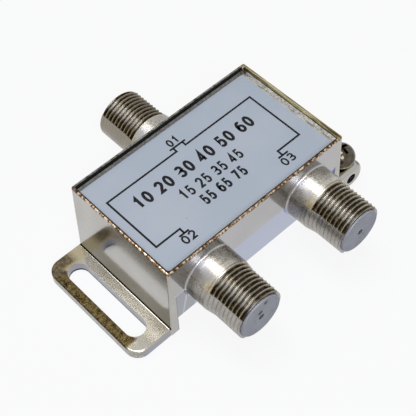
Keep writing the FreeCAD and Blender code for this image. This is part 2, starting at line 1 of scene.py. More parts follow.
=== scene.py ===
import math
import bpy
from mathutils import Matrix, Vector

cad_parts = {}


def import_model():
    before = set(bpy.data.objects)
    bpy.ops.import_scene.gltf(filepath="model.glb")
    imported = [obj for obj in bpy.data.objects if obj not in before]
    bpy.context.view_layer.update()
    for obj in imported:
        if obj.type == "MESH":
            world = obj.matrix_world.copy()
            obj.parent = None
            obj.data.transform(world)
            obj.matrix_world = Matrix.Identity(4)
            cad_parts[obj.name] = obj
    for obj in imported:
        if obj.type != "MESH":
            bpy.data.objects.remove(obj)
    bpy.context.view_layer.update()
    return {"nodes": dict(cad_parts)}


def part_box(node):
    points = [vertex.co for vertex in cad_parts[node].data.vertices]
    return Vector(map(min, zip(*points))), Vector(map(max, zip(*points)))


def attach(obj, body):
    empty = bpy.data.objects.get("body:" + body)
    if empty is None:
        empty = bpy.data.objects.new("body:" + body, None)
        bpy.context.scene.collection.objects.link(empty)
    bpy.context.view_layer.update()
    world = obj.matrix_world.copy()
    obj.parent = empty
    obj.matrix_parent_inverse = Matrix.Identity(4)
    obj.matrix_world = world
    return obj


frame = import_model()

from types import SimpleNamespace

import bpy
from mathutils import Matrix, Vector

# The looks of a two-way coaxial splitter. Sizes named _mm are millimetres in the part's own frame.

MM = 0.001
nodes = frame["nodes"]

label_top_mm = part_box("label")[1][2] / MM
ink_rise_mm = 0.012
port_x_mm = 11.25        # from the middle to the OUT ports
port_z_mm = 10.5
wall_y_mm = 11.7         # the side walls' outer face, where the ports start
recess_y_mm = 9.7        # how far in the side walls go under the ports
plate_x_mm = 18.3        # about the inner faces of the plates at both ends
end_x_mm = 19.3          # the rim's outer edges
side_y_mm = 11.65
rim_z_mm = 17.6
ear_x_mm = -20.0         # where the ear leaves the end wall
ear_top_mm = 2.1
thread_start_mm = 3.0    # from a wall to the first place where its port can have thread
thread_pitch_mm = 0.794


# Node material helpers

class Look:
    """A node material under construction. Positions are the object's own, in millimetres."""

    def __init__(self, name, metallic=0.0):
        self.mat = bpy.data.materials.new(name)
        self.mat.use_nodes = True
        self.tree = self.mat.node_tree
        self.tree.nodes.clear()
        self.out = self.tree.nodes.new("ShaderNodeOutputMaterial")
        self.bsdf = self.tree.nodes.new("ShaderNodeBsdfPrincipled")
        self.tree.links.new(self.bsdf.outputs[0], self.out.inputs[0])
        self.bsdf.inputs["Metallic"].default_value = metallic
        coord = self.tree.nodes.new("ShaderNodeTexCoord")
        scale = self.tree.nodes.new("ShaderNodeVectorMath")
        scale.operation = "SCALE"
        scale.inputs["Scale"].default_value = 1 / MM
        self.tree.links.new(coord.outputs["Object"], scale.inputs[0])
        self.position = scale.outputs[0]
        split = self.tree.nodes.new("ShaderNodeSeparateXYZ")
        self.tree.links.new(self.position, split.inputs[0])
        self.x, self.y, self.z = split.outputs

    def plug(self, socket, value):
        if isinstance(value, bpy.types.NodeSocket):
            self.tree.links.new(value, socket)
        elif isinstance(value, (tuple, list)) and len(value) == 3 and socket.type == "RGBA":
            socket.default_value = (*value, 1.0)
        else:
            socket.default_value = value

    def math(self, op, a, b=0.0, clamp=False):
        n = self.tree.nodes.new("ShaderNodeMath")
        n.operation = op
        n.use_clamp = clamp
        self.plug(n.inputs[0], a)
        self.plug(n.inputs[1], b)
        return n.outputs[0]

    def add(self, a, b):
        return self.math("ADD", a, b)

    def less(self, a, b):
        return self.math("SUBTRACT", a, b)

    def times(self, a, b):
        return self.math("MULTIPLY", a, b)

    def length(self, a, b):
        return self.math("SQRT", self.add(self.times(a, a), self.times(b, b)))

    def step(self, value, low, high):
        """0 below low, 1 above high and smooth between; high may be the lower one."""
        n = self.tree.nodes.new("ShaderNodeMapRange")
        n.interpolation_type = "SMOOTHSTEP"
        self.plug(n.inputs["Value"], value)
        flip = low > high
        n.inputs["From Min"].default_value = min(low, high)
        n.inputs["From Max"].default_value = max(low, high)
        n.inputs["To Min"].default_value = 1.0 if flip else 0.0
        n.inputs["To Max"].default_value = 0.0 if flip else 1.0
        return n.outputs["Result"]

    def between(self, value, low, high, soft):
        a = self.step(value, low - soft, low + soft)
        b = self.step(value, high + soft, high - soft)
        return self.times(a, b)

    def all_of(self, *values):
        out = values[0]
        for v in values[1:]:
            out = self.times(out, v)
        return out

    def any_of(self, *values):
        out = values[0]
        for v in values[1:]:
            out = self.math("MAXIMUM", out, v)
        return out

    def outside(self, mask):
        return self.less(1.0, mask)

    def noise(self, per_mm, detail=4.0, rough=0.6, stretch=(1, 1, 1), seed=0.0):
        vector = self.position
        if stretch != (1, 1, 1) or seed:
            m = self.tree.nodes.new("ShaderNodeMapping")
            m.inputs["Scale"].default_value = stretch
            m.inputs["Location"].default_value = (seed, seed * 0.7, seed * 1.3)
            self.tree.links.new(self.position, m.inputs["Vector"])
            vector = m.outputs[0]
        n = self.tree.nodes.new("ShaderNodeTexNoise")
        self.tree.links.new(vector, n.inputs["Vector"])
        n.inputs["Scale"].default_value = per_mm
        n.inputs["Detail"].default_value = detail
        n.inputs["Roughness"].default_value = rough
        return n.outputs["Fac"]

    def mix(self, fac, a, b, blend="MIX"):
        n = self.tree.nodes.new("ShaderNodeMix")
        n.data_type = "RGBA"
        n.blend_type = blend
        self.plug(n.inputs["Factor"], fac)
        self.plug(n.inputs[6], a)
        self.plug(n.inputs[7], b)
        return n.outputs[2]

    def paint(self, under, mask, share, over):
        """A colour laid over another one inside a mask, with this share of its full strength."""
        return self.mix(self.times(mask, share), under, over)

    def ramp(self, fac, *stops):
        n = self.tree.nodes.new("ShaderNodeValToRGB")
        while len(n.color_ramp.elements) < len(stops):
            n.color_ramp.elements.new(0.5)
        for e, (at, c) in zip(n.color_ramp.elements, stops):
            e.position = at
            e.color = (*c, 1.0)
        self.plug(n.inputs["Fac"], fac)
        return n.outputs["Color"]

    def grey(self, fac, low, high):
        """A number that goes from low to high with the middle of a noise."""
        return self.ramp(fac, (0.3, (low,) * 3), (0.7, (high,) * 3))

    def bump(self, height, strength, depth_mm):
        n = self.tree.nodes.new("ShaderNodeBump")
        n.inputs["Strength"].default_value = strength
        n.inputs["Distance"].default_value = depth_mm * MM
        self.plug(n.inputs["Height"], height)
        self.tree.links.new(n.outputs[0], self.bsdf.inputs["Normal"])

    def base(self, value):
        self.plug(self.bsdf.inputs["Base Color"], value)

    def rough(self, value):
        self.plug(self.bsdf.inputs["Roughness"], value)

    def metal(self, value):
        self.plug(self.bsdf.inputs["Metallic"], value)


def dress(names, look):
    for name in names:
        data = nodes[name].data
        data.materials.clear()
        data.materials.append(look.mat)


# The housing, area by area. Each function takes the colour so far and gives the new one.

def side_walls(m, colour):
    """Bluish below the ports, a painted reflection of the floor, with painted shade and painted highlights
    on a crease and a fold in the pocket beside the ear's end plate.
    """
    pocket_x = (-18.3, -15.9)
    shade_x = (-15.5, -13.2)
    fold_x = (-15.82, -15.58)
    crease_x = (-18.5, -16.0)
    front = m.step(m.y, -9.5, -9.8)
    foot = m.step(m.z, 10.4, 9.9)
    on_side = m.all_of(
        m.between(m.side, recess_y_mm, wall_y_mm + 0.1, 0.1),
        m.step(m.end, plate_x_mm + 0.1, plate_x_mm - 0.1),
    )
    below = m.all_of(on_side, m.step(m.z, port_z_mm + 0.1, port_z_mm - 0.1))
    above = m.all_of(on_side, m.step(m.z, port_z_mm + 0.1, port_z_mm + 0.3), m.step(m.z, 17.2, 17.0))
    # painted reflection: the floor's bluish tint laid on the side walls below the ports
    colour = m.paint(colour, below, 0.95, (0.48, 0.56, 0.80))
    # painted shade in the pocket beside the end plate and in the strip beyond it
    pocket = m.all_of(m.between(m.x, *pocket_x, 0.1), front, foot)
    colour = m.paint(colour, pocket, 0.75, (0.22, 0.23, 0.24))
    shade = m.all_of(m.between(m.x, *shade_x, 0.1), front, foot)
    colour = m.paint(colour, shade, 0.75, (0.24, 0.24, 0.22))
    # painted highlights: a bright vertical fold line and a bright line along the crease
    fold = m.all_of(m.between(m.x, *fold_x, 0.05), front, m.between(m.z, 4.5, 10.4, 0.1))
    crease = m.all_of(
        m.between(m.x, *crease_x, 0.1),
        m.step(m.y, -11.3, -11.5),
        m.between(m.z, 10.4, 10.62, 0.04),
    )
    m.crease = m.any_of(crease, fold)
    colour = m.mix(m.crease, colour, (0.98, 0.98, 1.0))
    return m.paint(colour, above, 0.6, (0.66, 0.66, 0.72))


def end_wall(m, colour):
    """The wall over the ear: a leaning slate patch, a painted reflection of the ear's slot; a white fleck;
    and a warm tint towards the top, a painted reflection.
    """
    lean_cos = 0.827
    lean_sin = 0.562
    inner_start = 11.0
    climb_start = 3.73
    fleck_y = 7.33
    fleck_z = 13.3
    on_end = m.all_of(m.step(m.x, -18.95, -19.05), m.between(m.z, 2.4, 17.0, 0.1))
    inner = m.add(m.add(m.times(m.y, -lean_cos), m.times(m.z, -lean_sin)), inner_start)
    climb = m.add(m.add(m.times(m.y, -lean_sin), m.times(m.z, lean_cos)), climb_start)
    # painted reflection of the ear's slot: a slate patch leaning across the wall
    spot = m.all_of(on_end, m.between(inner, 2.3, 3.1, 0.8), m.between(climb, 8.6, 12.4, 1.6))
    colour = m.paint(colour, spot, 0.6, (0.12, 0.13, 0.22))
    away = m.length(m.less(m.y, fleck_y), m.less(m.z, fleck_z))
    m.fleck = m.all_of(on_end, m.step(away, 0.34, 0.20))
    colour = m.mix(m.fleck, colour, (1.0, 1.0, 1.0))
    # painted reflection: a warm tint over the upper part of the wall, towards the front
    m.haze = m.all_of(on_end, m.step(m.z, 11.5, 14.5), m.step(m.y, 3.5, 0.5))
    return m.paint(colour, m.haze, 0.6, (0.78, 0.74, 0.62))


def rim(m, colour):
    """Painted highlight specks along the rim's outer edge and dark inside them; golden at the lug's end; the
    inner wall painted near-black as shade except at the lug's end.
    """
    top = m.step(m.z, rim_z_mm - 0.5, rim_z_mm - 0.38)
    inward = m.math("MINIMUM", m.less(end_x_mm, m.end), m.less(side_y_mm, m.side))
    edge = m.step(inward, 0.33, 0.24)
    inside = m.all_of(m.step(m.z, 16.0, 16.1), m.step(inward, 0.40, 0.47))
    far_side = m.all_of(m.step(m.y, 10.6, 10.8), m.step(m.x, 19.0, 18.6))
    far_end = m.step(m.x, 18.2, 18.4)
    tip = m.all_of(m.step(m.x, -18.5, -19.0), m.step(m.y, 10.8, 11.3))
    glitter = m.noise(2.1, 3.0, 0.6, seed=7.1)
    # painted highlights: bright specks where the rounded outer edge catches the light
    sparks = [(0.40, (0.10, 0.055, 0.028)), (0.5, (0.40, 0.26, 0.15)), (0.59, (1.0, 0.88, 0.72))]
    spark = m.ramp(glitter, *sparks)
    brown = m.ramp(m.grain, (0.36, (0.03, 0.02, 0.012)), (0.64, (0.20, 0.12, 0.07)))
    streak = m.noise(1.3, 5.0, 0.6, stretch=(2.2, 0.12, 2.2))
    golds = [(0.36, (0.04, 0.032, 0.010)), (0.47, (0.30, 0.25, 0.10)), (0.60, (0.80, 0.72, 0.45))]
    gold = m.ramp(streak, *golds)
    soot = m.ramp(m.grain, (0.38, (0.09, 0.09, 0.08)), (0.62, (0.50, 0.49, 0.44)))
    edging = m.mix(edge, brown, spark)
    edging = m.mix(far_end, edging, gold)
    edging = m.mix(far_side, edging, soot)
    edging = m.paint(edging, tip, 0.85, (0.22, 0.10, 0.05))
    colour = m.mix(top, colour, edging)
    dark_line = m.between(m.z, 16.78, 17.0, 0.06)
    # painted shade: the rim's inner wall near-black, except at the lug's end
    wall_in = m.mix(far_end, (0.018, 0.018, 0.018), m.mix(dark_line, gold, (0.06, 0.05, 0.02)))
    return m.mix(inside, colour, wall_in)


def ear(m, colour):
    """Pale gold on top, sandy at the edges, with a stained brown strip along its outer edge; painted shade
    on the far part of the top and near the wall there, at the foot of the slot's walls and in the crevice
    along the end wall.
    """
    low = m.step(m.z, ear_top_mm + 0.4, ear_top_mm + 0.2)
    on_ear = m.all_of(m.step(m.x, ear_x_mm, ear_x_mm - 0.15), low)
    on_top = m.all_of(on_ear, m.step(m.z, ear_top_mm - 0.35, ear_top_mm - 0.15))
    sandy = m.ramp(m.fine, (0.42, (0.20, 0.21, 0.19)), (0.5, (0.52, 0.54, 0.52)), (0.58, (0.80, 0.82, 0.80)))
    edges = m.mix(m.step(m.x, -26.0, -25.4), sandy, (0.46, 0.47, 0.58))
    colour = m.paint(colour, on_ear, 0.85, edges)
    in_slot = m.all_of(m.between(m.x, -26.0, -21.0, 0.1), m.step(m.side, 11.0, 10.8))
    # painted shadow at the foot of the slot's walls
    slot_foot = m.all_of(on_ear, in_slot, m.step(m.z, 0.55, 0.35))
    colour = m.mix(slot_foot, colour, (0.06, 0.06, 0.10))
    pale = m.mix(m.step(m.cloud, 0.35, 0.6), (0.64, 0.60, 0.50), (0.72, 0.69, 0.60))
    colour = m.paint(colour, on_top, 0.85, pale)
    # painted shade over the far part of the ear's top
    m.far_ear = m.all_of(on_top, m.step(m.y, 8.2, 9.6))
    colour = m.paint(colour, m.far_ear, 0.8, (0.60, 0.52, 0.32))
    outer_strip = m.all_of(m.step(m.x, -24.6, -25.4), m.step(m.y, -9.9, -8.9))
    # the outer strip is a real brown stain; near the wall on the far side the same brown is painted shade
    corner = m.all_of(m.step(m.y, 8.8, 9.8), m.step(m.x, -21.6, -23.4))
    m.stain = m.all_of(on_top, m.any_of(outer_strip, corner), m.step(m.fine, 0.24, 0.42))
    m.clean_top = m.all_of(on_top, m.outside(m.stain))
    brown = m.ramp(m.grain, (0.38, (0.018, 0.012, 0.004)), (0.64, (0.19, 0.14, 0.055)))
    colour = m.mix(m.stain, colour, brown)
    # painted shade: a near-black line in the crevice where the ear meets the end wall
    crevice = m.all_of(
        m.between(m.x, ear_x_mm - 0.08, ear_x_mm + 0.2, 0.05),
        m.between(m.z, ear_top_mm - 0.2, ear_top_mm + 0.2, 0.06),
    )
    return m.mix(crevice, colour, (0.02, 0.017, 0.012))


def lug(m, colour):
    """Olive on the lug's top and round its nose: a stain on the top and painted shade on the nose's
    rounding.
    """
    on_lug = m.all_of(m.step(m.x, 20.2, 20.4), m.step(m.z, 5.9, 5.8))
    upper = m.any_of(m.step(m.z, 5.2, 5.4), m.step(m.x, 24.6, 25.2))
    nose = m.all_of(on_lug, upper, m.step(m.y, -11.5, -11.2))
    # olive stain on the top; on the rounded nose the dark olive is painted shade
    olive = m.ramp(m.grain, (0.38, (0.04, 0.036, 0.012)), (0.64, (0.26, 0.25, 0.14)))
    return m.paint(colour, nose, 0.85, olive)


def port_axis(m):
    """Where a point lies from its port's axis: sideways, across without sign, up, and the radius."""
    in_side = m.step(m.y, -0.1, 0.1)
    middle = m.times(m.outside(in_side), port_x_mm)
    sideways = m.less(m.x, m.times(m.math("SIGN", m.x), middle))
    across = m.math("ABSOLUTE", m.less(m.end, middle))
    up = m.less(m.z, port_z_mm)
    radius = m.length(across, up)
    return SimpleNamespace(in_side=in_side, sideways=sideways, across=across, up=up, radius=radius)


def barrel(m):
    """A port's axis with the angle round it, what lies beyond the shoulder and the plain strips."""
    port = port_axis(m)
    port.angle = m.math("ARCTAN2", port.up, port.sideways)
    port.beyond = m.step(m.side, wall_y_mm + thread_start_mm, wall_y_mm + thread_start_mm + 0.2)
    port.strip = m.all_of(
        m.step(m.less(port.up, m.times(port.across, 0.70)), 0.05, -0.05),
        m.step(m.add(port.up, port.across), -0.05, 0.05),
    )
    return port


def threads(m, port, colour):
    """Dirt between the crests, black with gold crests in a band of painted shade and bright in a band of
    painted highlight, with painted golden glints.
    """
    worn_degrees = (100, 122)
    grimy_degrees = (129, 152)
    threaded = m.all_of(port.beyond, m.outside(port.strip))
    groove = m.all_of(threaded, m.step(port.radius, 4.75, 4.66))
    # painted highlight: a band round each barrel where the grooves turn bright
    worn = m.all_of(threaded, m.between(port.angle, *map(math.radians, worn_degrees), 0.14))
    # painted shade: a band round each barrel where the grooves turn black and the crests gold
    grimy = m.all_of(threaded, m.between(port.angle, *map(math.radians, grimy_degrees), 0.10))
    depth = m.add(m.step(port.radius, 4.15, 4.75), m.times(m.less(m.grain, 0.5), 0.8))
    browns = [(0.15, (0.010, 0.007, 0.003)), (0.55, (0.10, 0.075, 0.04)), (0.95, (0.56, 0.47, 0.30))]
    whites = [(0.10, (0.02, 0.016, 0.012)), (0.36, (0.26, 0.23, 0.18)), (0.58, (1.0, 0.98, 0.93))]
    blacks = [(0.25, (0.006, 0.004, 0.002)), (0.70, (0.06, 0.04, 0.016)), (1.0, (0.42, 0.33, 0.16))]
    dirt = m.mix(grimy, m.ramp(depth, *browns), m.ramp(depth, *blacks))
    colour = m.paint(colour, groove, 0.95, m.mix(worn, dirt, m.ramp(depth, *whites)))
    crests = m.mix(m.step(port.radius, 4.6, 4.74), (0.05, 0.035, 0.015), (0.78, 0.62, 0.30))
    colour = m.paint(colour, grimy, 0.6, crests)
    # painted highlights: golden glints on the crests
    glint = m.all_of(threaded, m.step(port.radius, 4.5, 4.7), m.step(m.fine, 0.52, 0.60))
    colour = m.paint(colour, glint, 0.7, (1.0, 0.92, 0.74))
    tarnish = m.all_of(threaded, m.step(m.grain, 0.50, 0.60))
    m.groove = groove
    m.worn_groove = m.all_of(groove, worn)
    return m.paint(colour, tarnish, 0.4, (0.40, 0.30, 0.16))


def shoulders(m, port, colour):
    """The plain stretches beside the walls: mottled, and browner away from a band with a painted highlight.
    """
    from_wall = m.step(m.side, wall_y_mm, wall_y_mm + 0.4)
    shoulder = m.all_of(from_wall, m.outside(port.beyond), m.step(port.radius, 6.5, 6.3))
    band_degrees = (100, 132)
    band = m.between(port.angle, *map(math.radians, band_degrees), 0.18)
    mottle = m.times(m.step(m.fine, 0.44, 0.56), 0.75)
    spots = m.math("SUBTRACT", mottle, m.times(band, 0.45), clamp=True)
    brown = m.mix(m.step(m.grain, 0.45, 0.6), (0.22, 0.19, 0.14), (0.50, 0.44, 0.33))
    colour = m.mix(m.all_of(shoulder, spots), colour, brown)
    # painted highlight: lilac-white on the shoulders in the band where the highlight falls
    return m.paint(colour, m.all_of(shoulder, band, m.step(m.grain, 0.6, 0.45)), 0.5, (0.70, 0.72, 0.86))


def plain_strips(m, port, colour):
    """Duller stripes without thread along the barrels, with the thread's faint ghost."""
    on_strip = m.all_of(port.beyond, port.strip)
    ghost = m.math("SINE", m.times(m.y, 2 * math.pi / thread_pitch_mm))
    dull = m.mix(m.step(m.grain, 0.42, 0.6), (0.50, 0.47, 0.43), (0.64, 0.63, 0.62))
    dull = m.mix(m.all_of(m.step(ghost, 0.3, 0.9), m.step(m.grain, 0.40, 0.56)), dull, (0.30, 0.27, 0.22))
    dull = m.paint(dull, port.in_side, 0.8, (0.36, 0.31, 0.23))
    m.ghost_relief = m.times(m.all_of(ghost, on_strip), 0.25)
    return m.paint(colour, on_strip, 0.85, dull)


def plated_zinc():
    """Nickel-plated zinc die casting: cloudy, with dirt in the threads, stains at the rim and the ear, and
    painted shade, highlights and reflections.
    """
    m = Look("plated_zinc", metallic=1.0)
    m.cloud = m.noise(0.16, 3.0, 0.55)
    m.grain = m.noise(1.4, 6.0, 0.7)
    m.fine = m.noise(4.5, 4.0, 0.75)
    m.side = m.math("ABSOLUTE", m.y)
    m.end = m.math("ABSOLUTE", m.x)
    plating = (0.63, 0.62, 0.605)

    colour = m.mix(m.step(m.cloud, 0.35, 0.68), (0.64, 0.63, 0.60), (0.72, 0.71, 0.69))
    for area in (side_walls, end_wall, rim, ear, lug):
        colour = area(m, colour)
    port = barrel(m)
    for area in (threads, shoulders, plain_strips):
        colour = area(m, port, colour)
    m.base(m.mix(1.0, colour, plating, "MULTIPLY"))

    # dirt, the painted warm reflection, the painted shade on the ear, the painted highlights and marks are
    # less metallic than the plating
    dull = m.any_of(
        m.times(m.groove, 0.2),
        m.times(m.worn_groove, 0.6),
        m.times(m.haze, 0.35),
        m.times(m.far_ear, 0.55),
        m.fleck,
        m.times(m.crease, 0.7),
    )
    m.metal(m.outside(dull))

    # smooth walls and ear, sandy barrels
    off_ear = m.any_of(m.step(m.z, 2.3, 2.6), m.step(m.end, 20.06, 20.0))
    smooth = m.any_of(m.all_of(m.step(m.side, wall_y_mm + 0.3, wall_y_mm), off_ear), m.clean_top)
    satin = m.mix(m.stain, m.grey(m.grain, 0.22, 0.38), (0.46,) * 3)
    m.rough(m.mix(smooth, satin, m.grey(m.cloud, 0.11, 0.15)))
    sand = m.add(m.grain, m.times(m.fine, 0.9))
    sand = m.times(sand, m.outside(m.times(smooth, 0.975)))
    m.bump(m.add(sand, m.ghost_relief), 0.6, 0.03)
    return m


# The other materials

def sheet_steel():
    m = Look("tinned_steel", metallic=1.0)
    n = m.noise(0.9, 5.0, 0.6)
    m.base(m.ramp(n, (0.3, (0.42, 0.42, 0.41)), (0.7, (0.60, 0.60, 0.58))))
    m.rough(m.grey(n, 0.28, 0.45))
    return m


def solder():
    """Tin solder, in shade along the far side of the lid."""
    m = Look("solder", metallic=1.0)
    n = m.noise(2.2, 5.0, 0.65)
    bright = m.ramp(n, (0.35, (0.20, 0.19, 0.17)), (0.6, (0.55, 0.54, 0.52)))
    m.base(m.paint(bright, m.step(m.y, 10.0, 10.4), 0.75, (0.05, 0.05, 0.045)))
    m.rough(m.grey(n, 0.3, 0.5))
    m.bump(n, 0.5, 0.05)
    return m


def label_film():
    """Blue-grey printed film with a faint cloudiness and a few specks."""
    m = Look("label_film")
    cloud = m.noise(0.08, 3.0, 0.5)
    fine = m.noise(7.0, 3.0, 0.6)
    speck = m.step(m.noise(1.1, 2.0, 0.5, seed=3.1), 0.76, 0.80)
    colour = m.mix(m.step(cloud, 0.3, 0.7), (0.320, 0.372, 0.455), (0.358, 0.405, 0.485))
    colour = m.paint(colour, m.step(fine, 0.4, 0.7), 0.10, (0.30, 0.33, 0.40))
    m.base(m.paint(colour, speck, 0.5, (0.22, 0.23, 0.26)))
    m.rough(m.grey(cloud, 0.5, 0.62))
    m.bump(fine, 0.15, 0.01)
    return m


def ink():
    m = Look("label_ink")
    m.bsdf.inputs["Specular IOR Level"].default_value = 0.15
    n = m.noise(5.0, 3.0, 0.6)
    m.base(m.ramp(n, (0.35, (0.003, 0.003, 0.004)), (0.75, (0.010, 0.010, 0.012))))
    m.rough(m.grey(n, 0.5, 0.7))
    return m


def port_plastic():
    """Grey moulded plastic with small dark marks and a bore darkened with painted shade; two specks lie on
    one cap's face.
    """
    specks = [(-10.4, 13.7, 0.5), (-11.5, 11.95, 0.6)]
    m = Look("port_plastic")
    cloud = m.noise(0.35, 3.0, 0.5)
    fine = m.noise(3.0, 4.0, 0.6)
    mark = m.step(m.noise(0.9, 2.0, 0.5, seed=5.3), 0.72, 0.76)
    colour = m.mix(m.step(cloud, 0.3, 0.7), (0.28, 0.295, 0.34), (0.36, 0.37, 0.41))
    colour = m.paint(colour, mark, 0.7, (0.05, 0.05, 0.055))
    m.end = m.math("ABSOLUTE", m.x)
    # painted shade: the bore is darkened; the two specks are marks
    dark = m.step(port_axis(m).radius, 0.58, 0.52)
    for x, z, size in specks:
        away = m.length(m.less(m.x, x), m.less(m.z, z))
        dark = m.any_of(dark, m.step(away, size, size * 0.6))
    m.base(m.mix(dark, colour, (0.03, 0.03, 0.033)))
    m.rough(m.grey(fine, 0.42, 0.58))
    m.bump(fine, 0.2, 0.02)
    return m


def screw_steel():
    """Dark glossy plated steel."""
    m = Look("screw_steel", metallic=1.0)
    n = m.noise(1.2, 4.0, 0.6)
    m.base(m.ramp(n, (0.35, (0.06, 0.05, 0.035)), (0.65, (0.12, 0.105, 0.08))))
    m.rough(m.grey(n, 0.10, 0.2))
    m.bump(n, 0.2, 0.02)
    return m


def washer_steel():
    """Yellow-passivated steel."""
    m = Look("washer_steel", metallic=1.0)
    n = m.noise(1.6, 5.0, 0.65)
    m.base(m.ramp(n, (0.35, (0.18, 0.16, 0.07)), (0.65, (0.54, 0.50, 0.30))))
    m.rough(m.grey(n, 0.25, 0.4))
    m.bump(n, 0.3, 0.02)
    return m


def simple(name, low, high, per_mm, metallic=0.0, rough=(0.4, 0.6)):
    """A two-tone material for the pieces inside the box."""
    m = Look(name, metallic=metallic)
    n = m.noise(per_mm, 4.0, 0.6)
    m.base(m.ramp(n, (0.35, low), (0.65, high)))
    m.rough(m.grey(n, *rough))
    m.bump(n, 0.2, 0.01)
    return m


ports = ["in_port", "out_port_a", "out_port_b"]
dress(["housing"], plated_zinc())
dress(["lid"], sheet_steel())
dress(["lid_seam", "board_solder", "contact_solder", "wire_solder"], solder())
dress(["label"], label_film())
dress([p + "_cap" for p in ports], port_plastic())
dress(["ground_screw"], screw_steel())
dress(["ground_washer"], washer_steel())
dress([p + "_bead" for p in ports],
      simple("bead_plastic", (0.62, 0.60, 0.52), (0.78, 0.76, 0.68), 1.5))
dress([p + "_contact" for p in ports],
      simple("tinned_bronze", (0.55, 0.50, 0.40), (0.75, 0.71, 0.62), 2.0, 1.0, (0.25, 0.4)))
dress(["circuit_board"],
      simple("board_laminate", (0.03, 0.12, 0.04), (0.05, 0.18, 0.06), 0.8, 0.0, (0.3, 0.5)))
dress(["board_tracks", "ground_plane"],
      simple("copper_foil", (0.55, 0.25, 0.13), (0.78, 0.42, 0.26), 1.2, 1.0, (0.3, 0.45)))
dress(["matching_core", "splitting_core"],
      simple("ferrite", (0.012, 0.012, 0.014), (0.035, 0.034, 0.036), 3.0, 0.0, (0.45, 0.7)))
dress(["matching_winding_in", "splitting_winding_a"],
      simple("enamelled_wire_red", (0.35, 0.05, 0.02), (0.50, 0.10, 0.04), 3.0, 0.6, (0.25, 0.35)))
dress(["matching_winding_ground", "splitting_winding_b"],
      simple("enamelled_wire_green", (0.03, 0.16, 0.05), (0.06, 0.26, 0.09), 3.0, 0.6, (0.25, 0.35)))
dress(["isolation_resistor"],
      simple("resistor_coat", (0.20, 0.34, 0.40), (0.28, 0.42, 0.48), 2.0, 0.0, (0.3, 0.4)))
dress(["input_capacitor", "compensation_capacitor"],
      simple("capacitor_ceramic", (0.34, 0.24, 0.15), (0.48, 0.36, 0.24), 2.5))


# Print on the label

def stroke(points, width):
    """The outline of a line of even width with mitred corners, as left and right points."""
    sharpest = 0.3
    left = []
    right = []
    for i, p in enumerate(points):
        p = Vector(p)
        before = (p - Vector(points[i - 1])).normalized() if i else None
        after = (Vector(points[i + 1]) - p).normalized() if i < len(points) - 1 else None
        a = before or after
        b = after or before
        along = (a + b).normalized()
        across = Vector((-along.y, along.x))
        half = width / 2 / max(sharpest, across.dot(Vector((-a.y, a.x))))
        left.append(p + across * half)
        right.append(p - across * half)
    return left, right


def ink_lines(name, lines, width_mm, look):
    """Flat printed lines of one width on the label, from lists of points in millimetres."""
    verts = []
    faces = []
    z = (label_top_mm + ink_rise_mm) * MM
    for points in lines:
        left, right = stroke(points, width_mm)
        start = len(verts)
        for a, b in zip(left, right):
            verts.append((a.x * MM, a.y * MM, z))
            verts.append((b.x * MM, b.y * MM, z))
        for i in range(len(points) - 1):
            k = start + 2 * i
            faces.append((k, k + 1, k + 3, k + 2))
    mesh = bpy.data.meshes.new(name)
    mesh.from_pydata(verts, [], faces)
    mesh.update()
    obj = bpy.data.objects.new(name, mesh)
    bpy.context.scene.collection.objects.link(obj)
    mesh.materials.append(look.mat)
    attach(obj, "splitter")


def arc(x, y, rx, ry, start, end):
    """Points along a part of an ellipse, from one angle to another in degrees."""
    steps = max(3, round(abs(end - start) / 12))
    angles = [math.radians(start + (end - start) * i / steps) for i in range(steps + 1)]
    return [(x + rx * math.cos(t), y + ry * math.sin(t)) for t in angles]


# Each numeral in a box one wide and one high
DIGITS = {
    "0": [arc(0.5, 0.5, 0.5, 0.5, 90, 460)],
    "1": [[(0.14, 0.76), (0.56, 1.0), (0.56, 0.0)]],
    "2": [arc(0.49, 0.71, 0.48, 0.29, 170, -40) + [(0.04, 0.0), (1.0, 0.0)]],
    "3": [arc(0.46, 0.755, 0.44, 0.245, 155, -90) + arc(0.46, 0.26, 0.52, 0.26, 85, -155)],
    "4": [[(0.74, 0.0), (0.74, 1.0), (0.0, 0.27), (1.0, 0.27)]],
    "5": [[(0.92, 1.0), (0.2, 1.0), (0.1, 0.52)] + arc(0.46, 0.32, 0.52, 0.32, 125, -150)],
    "6": [arc(0.5, 0.31, 0.5, 0.31, 90, 460), arc(0.6, 0.42, 0.6, 0.58, 62, 190)],
    "7": [[(0.0, 1.0), (0.98, 1.0), (0.34, 0.0)]],
}


def numerals(name, text, centre, height_mm, length_mm, line_mm, look):
    """A row of plain numerals that fills a length and is centred on a point of the label."""
    gap = 0.22
    space = 0.42
    widths = [space if c == " " else 1.0 for c in text]
    cell = length_mm / (sum(widths) + gap * (len(text) - 1))
    x = centre[0] - length_mm / 2 + line_mm / 2
    y = centre[1] - height_mm / 2 + line_mm / 2
    lines = []
    for c, width in zip(text, widths):
        for points in DIGITS.get(c, []):
            lines.append([(x + u * (cell - line_mm), y + v * (height_mm - line_mm)) for u, v in points])
        x += cell * (width + gap)
    ink_lines(name, lines, line_mm, look)


